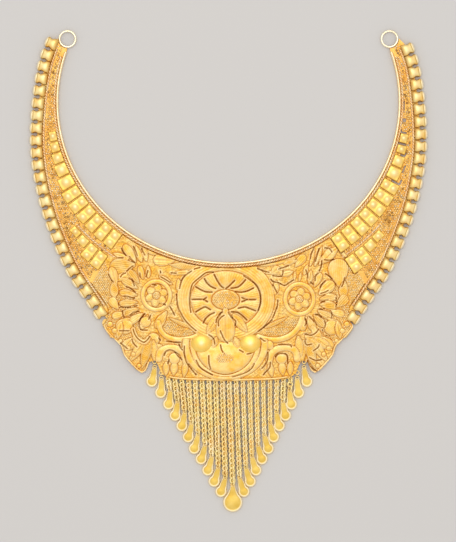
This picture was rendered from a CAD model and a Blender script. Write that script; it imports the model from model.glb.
"""Gold fringe necklace, lying face up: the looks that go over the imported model."""

import math

import bmesh
import bpy
import numpy as np
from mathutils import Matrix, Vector
from mathutils.geometry import delaunay_2d_cdt


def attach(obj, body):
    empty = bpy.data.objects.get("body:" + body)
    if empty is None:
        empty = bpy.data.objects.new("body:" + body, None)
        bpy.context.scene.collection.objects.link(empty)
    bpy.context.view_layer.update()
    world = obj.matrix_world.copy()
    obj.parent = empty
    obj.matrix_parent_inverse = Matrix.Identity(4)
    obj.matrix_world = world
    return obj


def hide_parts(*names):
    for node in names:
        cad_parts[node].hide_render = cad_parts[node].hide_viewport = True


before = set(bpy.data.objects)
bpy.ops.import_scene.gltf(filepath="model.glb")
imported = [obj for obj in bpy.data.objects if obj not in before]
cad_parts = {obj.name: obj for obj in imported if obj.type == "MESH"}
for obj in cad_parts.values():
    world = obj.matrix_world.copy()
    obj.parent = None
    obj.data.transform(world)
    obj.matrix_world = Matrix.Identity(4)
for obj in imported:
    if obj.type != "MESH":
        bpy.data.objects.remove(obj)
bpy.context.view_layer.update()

# Neck rim.
# A plain half-round wire of polished yellow gold, soldered along the whole neck edge of the collar.
MM = 0.001
NECK_HALF_W = 62.0
NECK_HALF_H = 58.4
NECK_Y = 61.7
ARM_END = 108.0
RIM_SECTION = [(0.02, 0.1), (0, 1.3), (0.09, 1.66), (0.28, 1.92), (0.5, 2.0), (0.72, 1.92), (0.91, 1.66),
               (1.0, 1.3), (0.98, 0.9)]
PATINA = (0.24, 0.09, 0.02)
RUBBED = (1.0, 0.9, 0.68)


def put(tree, kind, inputs=None, **settings):
    """Adds a node to a tree, with its settings and its inputs, which are values or sockets to link."""
    made = tree.nodes.new(kind)
    for key, value in settings.items():
        setattr(made, key, value)
    for key, value in (inputs or {}).items():
        if isinstance(value, bpy.types.NodeSocket):
            tree.links.new(value, made.inputs[key])
        else:
            made.inputs[key].default_value = value
    return made


def blend(tree, share, low, high):
    """A colour that goes from low to high by a share."""
    return put(tree, "ShaderNodeMix", {"Factor": share, 6: low, 7: high}, data_type="RGBA").outputs[2]


def gold_finish(name, light, deep, rough, grain, stained=0.0):
    """Yellow gold whose colour drifts from light to deep in soft patches, with a fine grain.

    Where the recess attribute is high, it keeps the brown polish that gathers in chased lines. Where the worn
    attribute is high, it is rubbed pale and bright.
    """
    finish = bpy.data.materials.new(name)
    finish.use_nodes = True
    tree = finish.node_tree
    shader = tree.nodes["Principled BSDF"]
    place = put(tree, "ShaderNodeTexCoord").outputs["Object"]
    patch = put(tree, "ShaderNodeTexNoise", {"Vector": place, "Scale": 330.0, "Detail": 3.0})
    speck = put(tree, "ShaderNodeTexNoise", {"Vector": place, "Scale": 3600.0, "Detail": 2.0})
    drift = put(tree, "ShaderNodeMapRange",
                {"Value": patch.outputs["Fac"], "From Min": 0.35, "From Max": 0.65})
    tone = blend(tree, drift.outputs["Result"], (*light, 1), (*deep, 1))
    recess = put(tree, "ShaderNodeAttribute", attribute_name="recess")
    depth = put(tree, "ShaderNodeMath", {0: recess.outputs["Fac"], 1: stained},
                operation="MULTIPLY", use_clamp=True)
    colour = blend(tree, depth.outputs[0], tone, (*PATINA, 1))
    worn = put(tree, "ShaderNodeAttribute", attribute_name="worn")
    colour = blend(tree, worn.outputs["Fac"], colour, (*RUBBED, 1))
    wear = put(tree, "ShaderNodeMapRange",
               {"Value": speck.outputs["Fac"], "From Min": 0.3, "From Max": 0.7,
                "To Min": rough - 0.06, "To Max": rough + 0.08})
    matt = put(tree, "ShaderNodeMath", {0: depth.outputs[0], 1: 0.35, 2: wear.outputs["Result"]},
               operation="MULTIPLY_ADD", use_clamp=True)
    bump = put(tree, "ShaderNodeBump",
               {"Height": speck.outputs["Fac"], "Strength": grain, "Distance": 0.06 * MM})
    tree.links.new(colour, shader.inputs["Base Color"])
    tree.links.new(matt.outputs[0], shader.inputs["Roughness"])
    tree.links.new(bump.outputs["Normal"], shader.inputs["Normal"])
    shader.inputs["Metallic"].default_value = 1.0
    return finish


def neck_pt(angle, off):
    """Point off mm outside the neck edge, at an angle in degrees from the middle of the front."""
    a = np.radians(angle)
    gx, gy = np.sin(a) / NECK_HALF_W, -np.cos(a) / NECK_HALF_H
    g = np.hypot(gx, gy)
    return np.stack([NECK_HALF_W * np.sin(a) + off * gx / g,
                     NECK_Y - NECK_HALF_H * np.cos(a) + off * gy / g], -1)


def mark(mesh, name, values):
    """Stores a number for each point of a mesh."""
    mesh.attributes.new(name, "FLOAT", "POINT").data.foreach_set("value", np.asarray(values, np.float32))


def closed_mesh(name, points, faces, marks):
    """A closed mesh from points in mm, its faces turned outwards, with a number for each point per mark."""
    mesh = bpy.data.meshes.new(name)
    mesh.from_pydata((np.asarray(points, float) * MM).tolist(), [], faces)
    shell = bmesh.new()
    shell.from_mesh(mesh)
    bmesh.ops.recalc_face_normals(shell, faces=shell.faces)
    shell.to_mesh(mesh)
    shell.free()
    for label, values in marks.items():
        mark(mesh, label, values)
    return mesh


def piece_of(name, mesh, sharp):
    """A piece of the necklace from its mesh, smooth but for the edges sharper than an angle in degrees."""
    mesh.shade_smooth()
    if sharp:
        mesh.set_sharp_from_angle(angle=math.radians(sharp))
    piece = bpy.data.objects.new(name, mesh)
    bpy.context.scene.collection.objects.link(piece)
    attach(piece, "root")
    return piece


def solid(name, points, faces, finish, slot, sharp=None, **marks):
    """A closed piece of the collar or fringe from points in mm, with its finish and marks."""
    mesh = closed_mesh(name, points, faces, marks)
    mesh.materials.append(finish)
    return piece_of(name, mesh, sharp)


def rings_to_faces(rings, sides, closed=False):
    """Faces of a tube made of rings of points, with an end face at each end unless it closes on itself."""
    faces = []
    for i in range(rings if closed else rings - 1):
        a, b = i * sides, (i + 1) % rings * sides
        faces += [(a + j, a + (j + 1) % sides, b + (j + 1) % sides, b + j) for j in range(sides)]
    if not closed:
        faces += [tuple(range(sides)), tuple(range((rings - 1) * sides, rings * sides))]
    return faces


polished = gold_finish("polished_gold", (1.0, 0.83, 0.56), (1.0, 0.74, 0.4), 0.28, 0.12)
rim_angles = np.linspace(-ARM_END, ARM_END, 181)
rim_points = []
for angle in rim_angles:
    for across, height in RIM_SECTION:
        rim_points.append([*neck_pt(angle, across), height])
rim = solid("neck_rim", rim_points, rings_to_faces(len(rim_angles), len(RIM_SECTION)), polished,
            "collar_gold", 50)
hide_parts("collar")

# Arm sheets.
# The flat gold sheet under each arm, that the wires, bricks and granules are soldered to. The right one is
# pierced with short slots, most of them in the gaps between its bricks.
EDGE = [(65.9, 85.7), (69, 77.6), (70.9, 68.3), (72.2, 55.5), (72.3, 44.5), (71, 33.8), (68.2, 21.8),
        (64.2, 10.6), (59, -0.8), (52.8, -10.2), (46.7, -19.4)]
SIDES = ((1, "right"), (-1, "left"))
BEAD_FROM = {1: 1.9, -1: -0.4}
BEAD_LEN = 4.2
ROOT_IN = BEAD_LEN * 0.62
SHEET_TOP = 1.0
PLATE_ANGLE = 37.0
# Slots of the right arm. Columns: neck angle, distance off the neck edge, size across the arm, size along it
SLOTS = [(88.8, 2.1, 0.6, 3.6), (83.8, 2.6, 1.4, 1.4), (79.6, 3.05, 2.2, 0.7), (79.5, 2.15, 0.5, 2.3),
         (75.7, 3.5, 3.1, 0.7), (72.1, 4.85, 1.9, 0.7), (72.7, 5.8, 0.6, 1.3), (68.1, 7.1, 0.6, 3),
         (63.2, 6.5, 3.4, 0.7), (64, 8, 0.8, 1.9)]
RING_X = 58.8
RING_Y = 84.7
RING_SEAT = 3.45
SEAT_FROM = -88
SEAT_TO = 4


def smooth_curve(points, steps):
    """Smooth curve through the points, with a number of steps between each two."""
    p = np.asarray(points, float)
    n = len(p) - 1
    out = []
    for i in range(n):
        a, b, c, d = p[max(i - 1, 0)], p[i], p[i + 1], p[min(i + 2, n)]
        for t in np.arange(steps) / steps:
            out.append(0.5 * (2 * b + (c - a) * t + (2 * a - 5 * b + 4 * c - d) * t * t
                              + (3 * b - a - 3 * c + d) * t ** 3))
    return np.array(out + [p[n]])


edge_line = smooth_curve(EDGE, 6)
edge_runs = np.concatenate([[0], np.cumsum(np.hypot(*np.diff(edge_line, axis=0).T))])
edge_len = edge_runs[-1]


def edge_pt(run, inward):
    """Point of the right outer edge at a run along it from the top, moved in from the bead tips."""
    def on_line(s):
        s = np.asarray(s, float)
        low = np.interp(s, edge_runs, edge_line[:, 0]), np.interp(s, edge_runs, edge_line[:, 1])
        return np.stack(low, -1)
    a, b = on_line(np.asarray(run) - 0.5), on_line(np.asarray(run) + 0.5)
    d = (b - a) / np.linalg.norm(b - a, axis=-1, keepdims=True)
    return (a + b) / 2 + inward * np.stack([d[..., 1], -d[..., 0]], -1)


def inside_loop(loop, x, y):
    """Whether each point lies inside a closed loop of points."""
    hit = np.zeros(np.shape(x), bool)
    for (ax, ay), (bx, by) in zip(loop, np.roll(loop, -1, axis=0)):
        if ay != by:
            hit ^= ((ay > y) != (by > y)) & (x < (bx - ax) * (y - ay) / (by - ay) + ax)
    return hit


def flat_plate(name, outline, holes, low, high, finish):
    """A flat sheet with an outline and pierced holes."""
    loops = [np.asarray(outline, float), *[np.asarray(h, float) for h in holes]]
    points, ties = [], []
    for loop in loops:
        start = len(points)
        points += [Vector(p) for p in loop]
        ties += [(start + i, start + (i + 1) % len(loop)) for i in range(len(loop))]
    flat, _, tris, *_ = delaunay_2d_cdt(points, ties, [], 0, 1e-6)
    xy = np.array([tuple(p) for p in flat])
    mid = xy[np.array(tris)].mean(axis=1)
    keep = inside_loop(loops[0], mid[:, 0], mid[:, 1])
    for hole in loops[1:]:
        keep &= ~inside_loop(hole, mid[:, 0], mid[:, 1])
    tris = [t for t, k in zip(tris, keep) if k]
    edges = {}
    for t in tris:
        for a, b in zip(t, t[1:] + t[:1]):
            edges[(a, b)] = True
    walls = [(a, b) for a, b in edges if (b, a) not in edges]
    n = len(xy)
    verts = np.concatenate([np.c_[xy, np.full(n, high)], np.c_[xy, np.full(n, low)]])
    faces = [tuple(t) for t in tris] + [tuple(n + i for i in reversed(t)) for t in tris]
    faces += [(b, a, n + a, n + b) for a, b in walls]
    return solid(name, verts, faces, finish, "collar_gold", 30)


def neck_angle_of(point):
    """Neck angle, in degrees, of the place on the neck edge that is nearest to a point."""
    angles = np.linspace(-ARM_END, ARM_END, 1441)
    return angles[np.linalg.norm(neck_pt(angles, 0) - point, axis=-1).argmin()]


def slot_loop(row, margin):
    """Corners of a slot of the right arm, with a margin round it."""
    angle, off, across, along = row
    turn = math.radians(angle - 90)
    u = np.array([math.cos(turn), math.sin(turn)]) * (across / 2 + margin)
    v = np.array([-math.sin(turn), math.cos(turn)]) * (along / 2 + margin)
    mid = neck_pt(angle, off)
    return [mid - u - v, mid + u - v, mid + u + v, mid - u + v]


satin = gold_finish("satin_gold", (0.84, 0.51, 0.14), (0.72, 0.38, 0.08), 0.45, 0.5)
edge_steps = np.arange(1.0, edge_len - 1.0, 1.1)
plate_run = next(s for s in edge_steps if neck_angle_of(edge_pt(s, ROOT_IN)) < PLATE_ANGLE)
for side, side_name in SIDES:
    inner = neck_pt(np.arange(PLATE_ANGLE - 0.5, ARM_END + 0.1, 1.5), 0.25)
    outer = edge_pt(np.linspace(max(1.0, BEAD_FROM[side]), plate_run, 100), ROOT_IN)
    seat = np.radians(np.arange(SEAT_FROM, SEAT_TO, 6.0))
    seat = np.array([RING_X, RING_Y]) + RING_SEAT * np.stack([np.cos(seat), np.sin(seat)], -1)
    holes = [slot_loop(row, 0) for row in SLOTS] if side > 0 else []
    shape = [*inner, *seat, *outer]
    mirror = np.array([side, 1])
    plate = flat_plate(f"arm_sheet_{side_name}", [p * mirror for p in shape],
                       [[p * mirror for p in h] for h in holes], 0.0, SHEET_TOP - 0.02, satin)
    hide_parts("collar")

# Twisted wires.
# Fine round wires, twisted in pairs and soldered flat on the sheet: one pair along the neck rim, one beside
# the beads, and one between the rows of bricks.
TWIST_Z = 1.36
NECK_WIRE_OFF = 1.53
EDGE_WIRE_IN = 4.95
ROW_WIRE_OFF = 10.6
strand_finish = gold_finish("twisted_gold", (1.0, 0.82, 0.55), (1.0, 0.68, 0.34), 0.26, 0.1)


def new_tree(name, sockets):
    """An empty tree with a geometry input and output, and named inputs."""
    tree = bpy.data.node_groups.new(name, "GeometryNodeTree")
    tree.interface.new_socket("Geometry", in_out="INPUT", socket_type="NodeSocketGeometry")
    for label, kind in sockets.items():
        tree.interface.new_socket(label, in_out="INPUT", socket_type="NodeSocket" + kind)
    tree.interface.new_socket("Geometry", in_out="OUTPUT", socket_type="NodeSocketGeometry")
    return tree, put(tree, "NodeGroupInput").outputs


def end_tree(tree, geometry, material):
    """Realizes the instances, gives them their finish and ends the tree."""
    real = put(tree, "GeometryNodeRealizeInstances", {"Geometry": geometry})
    done = put(tree, "GeometryNodeSetMaterial", {"Geometry": real.outputs[0], "Material": material})
    put(tree, "NodeGroupOutput", {"Geometry": done.outputs[0]})


def grown(name, tree, points, values, finish, edges=(), marks=None, sharp=None):
    """A plain mesh piece that a tree makes on points in mm, from the values of its named inputs."""
    seed = bpy.data.meshes.new(name + "_points")
    seed.from_pydata((np.asarray(points, float) * MM).tolist(), list(edges), [])
    for label, numbers in (marks or {}).items():
        mark(seed, label, numbers)
    holder = bpy.data.objects.new(name + "_points", seed)
    bpy.context.scene.collection.objects.link(holder)
    maker = holder.modifiers.new("maker", "NODES")
    maker.node_group = tree
    sockets = {s.name: s.identifier for s in tree.interface.items_tree if s.in_out == "INPUT"}
    for label, value in {**values, "Material": finish}.items():
        maker[sockets[label]] = value
    bpy.context.view_layer.update()
    graph = bpy.context.evaluated_depsgraph_get()
    mesh = bpy.data.meshes.new_from_object(holder.evaluated_get(graph), depsgraph=graph)
    bpy.data.objects.remove(holder)
    mesh.name = name
    return piece_of(name, mesh, sharp)


def maths(tree, operation, inputs, kind="ShaderNodeMath"):
    """Result of a maths node in a tree."""
    return put(tree, kind, inputs, operation=operation).outputs[0]


VECTORS = "ShaderNodeVectorMath"
twist_tree, socket = new_tree("twisted_wire", {
    **dict.fromkeys(("Turn length", "Twist radius", "Wire radius", "Step"), "Float"), "Material": "Material"})
path = put(twist_tree, "GeometryNodeMeshToCurve", {"Mesh": socket["Geometry"]})
path = put(twist_tree, "GeometryNodeResampleCurve", {"Curve": path.outputs[0], "Length": socket["Step"]},
           mode="LENGTH")
run = put(twist_tree, "GeometryNodeSplineParameter").outputs["Length"]
turns = maths(twist_tree, "DIVIDE", {0: run, 1: socket["Turn length"]})
tangent = put(twist_tree, "GeometryNodeInputTangent").outputs[0]
sideways = maths(twist_tree, "CROSS_PRODUCT", {0: tangent, 1: (0, 0, 1)}, VECTORS)
section = put(twist_tree, "GeometryNodeCurvePrimitiveCircle",
              {"Resolution": 5, "Radius": socket["Wire radius"]})
both = put(twist_tree, "GeometryNodeJoinGeometry")
for phase in (0, math.pi):
    angle = maths(twist_tree, "MULTIPLY_ADD", {0: turns, 1: 2 * math.pi, 2: phase})
    cosine = maths(twist_tree, "COSINE", {0: angle})
    sine = maths(twist_tree, "SINE", {0: angle})
    flat_part = maths(twist_tree, "SCALE", {0: sideways, "Scale": cosine}, VECTORS)
    up_part = put(twist_tree, "ShaderNodeCombineXYZ", {"Z": sine}).outputs[0]
    both_parts = maths(twist_tree, "ADD", {0: flat_part, 1: up_part}, VECTORS)
    shift = maths(twist_tree, "SCALE", {0: both_parts, "Scale": socket["Twist radius"]}, VECTORS)
    moved = put(twist_tree, "GeometryNodeSetPosition", {"Geometry": path.outputs[0], "Offset": shift})
    wire = put(twist_tree, "GeometryNodeCurveToMesh",
               {"Curve": moved.outputs[0], "Profile Curve": section.outputs[0], "Fill Caps": True})
    twist_tree.links.new(wire.outputs[0], both.inputs[0])
end_tree(twist_tree, both.outputs[0], socket["Material"])

TWIST = {"Turn length": 2.1 * MM, "Twist radius": 0.25 * MM, "Wire radius": 0.26 * MM,
         "Step": 0.21 * MM}
neck_wires = [neck_pt(np.arange(-ARM_END + 2, ARM_END - 1.9, 1.0), NECK_WIRE_OFF)]
side_wires = {side: [edge_pt(np.arange(3, edge_len - 4, 1.0), EDGE_WIRE_IN) * [side, 1],
                     neck_pt(np.arange(35, 50.6, 1.0), ROW_WIRE_OFF) * [side, 1]] for side in (1, -1)}


def wire_piece(name, lines):
    """The twisted wires that follow some lines, as one piece of the collar."""
    points, edges = [], []
    for line in lines:
        edges += [(len(points) + j, len(points) + j + 1) for j in range(len(line) - 1)]
        points += [(x, y, TWIST_Z) for x, y in line]
    piece = grown(name, twist_tree, points, TWIST, strand_finish, edges)
    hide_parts("collar")


wire_piece("twisted_wires_neck", neck_wires)
for side, side_name in SIDES:
    wire_piece(f"twisted_wires_{side_name}", side_wires[side])

# Bricks.
# Small struck cushions of polished gold in a long and a short row on each arm, each with one or two domes.
BRICK_GAP = 0.26
SLOT_GAPS = (7, 9, 10, 11)
SLOT_GAP = 0.7
BRICK_H = 1.9
BRICK_LOW = 0.8
BRICK_WALL = 0.5
BRICK_ROUNDING = 0.35
BRICK_DOME_TOP = 2.4
BRICK_DOMES_AT = 0.46
ONE_DOME_LONG = 6
# Ends of the two rows. Columns: neck angle, inner end and outer end off the neck edge
BRICKS = [(37, 2.4, 9.1), (44, 2.3, 9.1), (52, 2.2, 9), (61, 2, 8.7), (62.4, 2, 7.7), (65.5, 2, 6.8),
          (70, 2, 6.1), (75, 2, 5.3), (80, 2, 4.7)]
SHORT_BRICKS = [(36, 11.6, 18.3), (41.8, 11.6, 17.8), (43.6, 11.6, 15.4), (48.6, 11.4, 14.2)]
# Neck angles between the bricks of the two rows, on each arm
BRICK_ENDS = {1: [35.2, 39.2, 43.2, 47.2, 51.2, 55.2, 59.2, 63.2, 67.8, 72.1, 75.7, 79.6],
              -1: [37, 40.8, 44.6, 48.4, 52.3, 56.3, 60.3, 64.6, 69, 72.8, 76.5, 80.2]}
SHORT_ENDS = {1: [35.1, 38.5, 41.9, 45.3, 48.7], -1: [36.7, 40.1, 43.5, 46.9, 50.3]}
brick_finish = gold_finish("brick_gold", (1.0, 0.71, 0.19), (0.97, 0.62, 0.12), 0.42, 0.12, 1.0)


def unit(x):
    """Numbers held between 0 and 1."""
    return np.clip(x, 0, 1)


def bell(x):
    """A smooth hump, 1 at its middle."""
    return np.exp(-x ** 2)


def brick_bodies(side):
    """Each brick of an arm, as on the right one, as its four corners and the places of its domes."""
    for table, ends in ((BRICKS, BRICK_ENDS[side]), (SHORT_BRICKS, SHORT_ENDS[side])):
        rows = np.array(table, float)
        wide_gaps = SLOT_GAPS if side > 0 and table is BRICKS else ()
        gaps = [SLOT_GAP if i in wide_gaps else BRICK_GAP for i in range(len(ends))]
        slack = [math.degrees(gap / 2 / NECK_HALF_H) for gap in gaps]
        for i, (a, b) in enumerate(zip(ends, ends[1:])):
            inner, outer = (np.interp((a + b) / 2, rows[:, 0], rows[:, c]) for c in (1, 2))
            a, b = a + slack[i], b - slack[i + 1]
            yield ([neck_pt(a, inner), neck_pt(b, inner), neck_pt(b, outer), neck_pt(a, outer)],
                   (-BRICK_DOMES_AT, BRICK_DOMES_AT) if outer - inner > ONE_DOME_LONG else (0.0,))


across_steps = np.array([-1, -0.97, -0.9, -0.78, -0.6, -0.4, -0.2, 0, 0.2, 0.4, 0.6, 0.78, 0.9, 0.97, 1])
along_steps = np.concatenate([[-1, -0.98, -0.94, -0.86], np.linspace(-0.76, 0.76, 15), [0.86, 0.94, 0.98, 1]])
grid_a, grid_l = np.meshgrid(across_steps, along_steps, indexing="ij")
n_a, n_l = grid_a.shape
loop = [i * n_l for i in range(n_a)] + [(n_a - 1) * n_l + j for j in range(1, n_l)] \
    + [i * n_l + n_l - 1 for i in range(n_a - 2, -1, -1)] + [j for j in range(n_l - 2, 0, -1)]
m = len(loop)
round_off = 1 - 0.05 * (np.abs(grid_a) ** 5) * (np.abs(grid_l) ** 9)
fa, fl = (grid_a * round_off + 1) / 2, (grid_l * round_off + 1) / 2
corner_shares = [((1 - fa) * (1 - fl))[..., None], (fa * (1 - fl))[..., None],
                 (fa * fl)[..., None], ((1 - fa) * fl)[..., None]]
for side, side_name in SIDES:
    points, faces, hollows, tops = [], [], [], []
    for corners, domes in brick_bodies(side):
        c = np.array(corners) * [side, 1]
        long = np.linalg.norm(c[3] - c[0])
        wide = np.linalg.norm(c[1] - c[0])
        xy = sum(part * corner for part, corner in zip(corner_shares, c))
        edge = np.minimum((1 - np.abs(grid_a)) * wide / 2, (1 - np.abs(grid_l)) * long / 2)
        rise = np.sqrt(1 - (1 - unit(edge / BRICK_ROUNDING)) ** 2)
        z = BRICK_LOW + BRICK_WALL + (BRICK_H - BRICK_LOW - BRICK_WALL) * rise
        shines = np.zeros(z.shape)
        reach = min(wide, long / len(domes)) / 2 - 0.05
        for d in domes:
            away = np.hypot(grid_a * wide / 2, (grid_l - d) * long / 2) / reach
            z += (BRICK_DOME_TOP - BRICK_H) * unit(1 - away ** 2) ** 1.8
            shines += 0.45 * bell(away / 0.6)
        start = len(points)
        points += np.concatenate([xy, z[..., None]], -1).reshape(-1, 3).tolist()
        hollows += unit(0.55 - edge / 0.2).ravel().tolist()
        tops += shines.ravel().tolist()
        first = [start + i * n_l + j for i in range(n_a - 1) for j in range(n_l - 1)]
        faces += [(a, a + n_l, a + n_l + 1, a + 1) for a in first]
        foot = len(points)
        points += [[*xy.reshape(-1, 2)[k], BRICK_LOW] for k in loop]
        hollows += [1.0] * m
        tops += [0.0] * m
        faces += [(start + loop[k], start + loop[(k + 1) % m], foot + (k + 1) % m, foot + k)
                  for k in range(m)]
        faces.append(tuple(range(foot, foot + m)))
    bricks = solid(f"bricks_{side_name}", points, faces, brick_finish, "collar_gold",
                   recess=hollows, worn=tops)
    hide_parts("collar")

# Edge beads.
# Struck hollow beads of polished gold, soldered side by side along the outer edge of each arm: a rounded
# lip, a waist, and a high cushion at the root, which leave a small keyhole between each two.
BEAD_COUNT = 24
BEAD_FOOT = 0.2
BEAD_WALL = 0.7
BEAD_AROUND = 15
# Sections of a bead. Columns: distance in from the outer edge, half width, height, rubbed shine along the
# middle, stain
BEAD_FORM = [(-0.3, 0.7, 1.2, 0.5, 0), (-0.22, 1.05, 1.6, 0.9, 0), (-0.05, 1.4, 1.98, 1.0, 0),
             (0.18, 1.65, 2.22, 0.9, 0), (0.42, 1.86, 2.32, 0.5, 0), (0.6, 1.95, 2.3, 0.05, 0.3),
             (0.72, 1.99, 2.22, 0.0, 0.5), (0.84, 2.0, 2.3, 0.0, 0.25), (1.0, 1.97, 2.4, 0.0, 0),
             (1.25, 1.85, 2.46, 0.0, 0), (1.5, 1.72, 2.52, 0.1, 0), (1.75, 1.64, 2.58, 0.15, 0),
             (2.05, 1.67, 2.65, 0.2, 0), (2.4, 1.85, 2.7, 0.25, 0), (2.75, 2.05, 2.73, 0.25, 0),
             (3.1, 2.16, 2.73, 0.2, 0), (3.5, 2.18, 2.67, 0.1, 0), (3.9, 2.16, 2.52, 0.0, 0.1),
             (4.2, 2.12, 2.28, 0.0, 0.2), (4.45, 2.05, 1.7, 0.0, 0.3)]
bead_finish = gold_finish("bead_gold", (0.95, 0.76, 0.35), (0.94, 0.61, 0.17), 0.42, 0.1, 0.8)


def edge_turn(run):
    """Direction of the right outer edge, in radians, at a run along it."""
    d = edge_pt(run + 0.5, 0) - edge_pt(run - 0.5, 0)
    return np.arctan2(d[..., 1], d[..., 0])


bead_points, bead_recess, bead_worn = [], [], []
for run, half, top, shine, stain in BEAD_FORM:
    for t in np.linspace(0, math.pi, BEAD_AROUND):
        x = half * math.copysign(abs(math.cos(t)) ** 0.65, math.cos(t))
        rise = (top - BEAD_FOOT - BEAD_WALL) * math.sin(t) ** 0.65
        bead_points.append((x, run, BEAD_FOOT + BEAD_WALL + rise))
        bead_recess.append(stain + (max(0.0, abs(x) / half - 0.88) * 5 if run > 1.0 else 0.0))
        bead_worn.append(shine * (1 if run < 0.6 else max(0.0, 1 - (x / 1.5) ** 2)))
    bead_points += [(-half, run, BEAD_FOOT), (half, run, BEAD_FOOT)]
    bead_recess += [0.6, 0.6]
    bead_worn += [0.0, 0.0]
bead_mesh = closed_mesh("edge_bead", bead_points, rings_to_faces(len(BEAD_FORM), BEAD_AROUND + 2),
                        {"recess": bead_recess, "worn": bead_worn})
one_bead = bpy.data.objects.new("edge_bead", bead_mesh)

turned_tree, socket = new_tree("turned_on_points", {"Shape": "Object", "Material": "Material"})
shape = put(turned_tree, "GeometryNodeObjectInfo", {"Object": socket["Shape"]})
turns = [put(turned_tree, "GeometryNodeInputNamedAttribute", {"Name": n}, data_type="FLOAT").outputs[0]
         for n in ("roll", "turn")]
spin = put(turned_tree, "ShaderNodeCombineXYZ", {"Y": turns[0], "Z": turns[1]})
spin = put(turned_tree, "FunctionNodeEulerToRotation", {0: spin.outputs[0]})
placed = put(turned_tree, "GeometryNodeInstanceOnPoints",
             {"Points": socket["Geometry"], "Instance": shape.outputs["Geometry"],
              "Rotation": spin.outputs[0]})
end_tree(turned_tree, placed.outputs[0], socket["Material"])

for side, side_name in SIDES:
    bead_runs = BEAD_FROM[side] + (np.arange(BEAD_COUNT) + 0.5) * (edge_len - 1) / BEAD_COUNT
    turns = edge_turn(bead_runs) + math.pi
    spots = edge_pt(bead_runs, 0)
    if side < 0:
        spots = spots * [-1, 1]
        turns = -turns
    beads = grown(f"edge_beads_{side_name}", turned_tree, np.c_[spots, np.zeros(BEAD_COUNT)],
                  {"Shape": one_bead}, bead_finish, marks={"turn": turns}, sharp=60)
    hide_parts("collar")
bpy.data.objects.remove(one_bead)

# Chased front.
# Thin gold sheet struck up from behind into leaves, petals and plain bands, and chased from the front with
# fine lines. The oval medallion with the bowl below it is one sheet, and each side is another.
GRID = 0.17
GROUND = 1.45
# Struck forms: share of the given height that is kept, fall of the face at its edge, width and depth of the
# line round it, and the veins and ribs of the leaves
RELIEF = 0.8
EDGE_FALL = 0.3
LINE_WIDTH = 0.24
SINK = 0.07
VEIN_DEPTH = 0.14
VEIN_HALF = 0.14
RIB_DEPTH = 0.09
RIB_PITCH = 0.8
PETAL_RIB_PITCH = 0.72
# Chased lines: depth and half width of the cut, height of the burr beside it and its distance
CUT_DEPTH = 0.36
CUT_HALF = 0.18
BURR = 0.04
BURR_AWAY = 0.46
HEM = [(44.4, -21.6), (42, -24.4), (39.4, -27.2), (38.2, -30.6), (35.8, -33.6), (33.6, -36), (31.6, -37.2),
       (30, -36.2), (28.9, -33.2), (26.6, -32.6), (25.6, -34.6), (24.6, -37.3), (22, -39.2), (16, -39.8),
       (0, -40.1)]
MEDAL = (-1.05, -10.4)
MEDAL_INNER = (12.9, 10.7)
MEDAL_OUTER = (17.9, 13.6)
MEDAL_BAND_HALF = 2.5
MEDAL_BAND_TALLER = 0.9
BUTTON = (5.0, 3.6)
BOWL = (-1.2, -26.6)
BOWL_FLOOR = (10.9, 11.0)
CORNERS = {1: (43.5, -20.4), -1: (44.2, -19.1)}
CORNER_R = 1.9
CORNER_END = (42.9, -24.4)
ROSES = [(25.9, -10.2, 5.2, 5.5), (-26.3, -8.9, 5.0, 5.2)]
ROSE_PETALS = 6
ROSE_CORE = 1.45
BOWL_UP_TO = -24.6
# Bands round the bowl. Columns: half width and half height of the middle line, half width of the band
# below, what it gains at the sides, top, flank
BOWL_BANDS = [(14.4, 12.5, 0.55, 0.75, 2.25, 0.9), (12.0, 11.6, 0.35, 0.6, 2.0, 0.6)]
MIDDLE_OVALS = [(MEDAL, 18.0, 14.6), (BOWL, 15.7, 13.6)]

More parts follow.
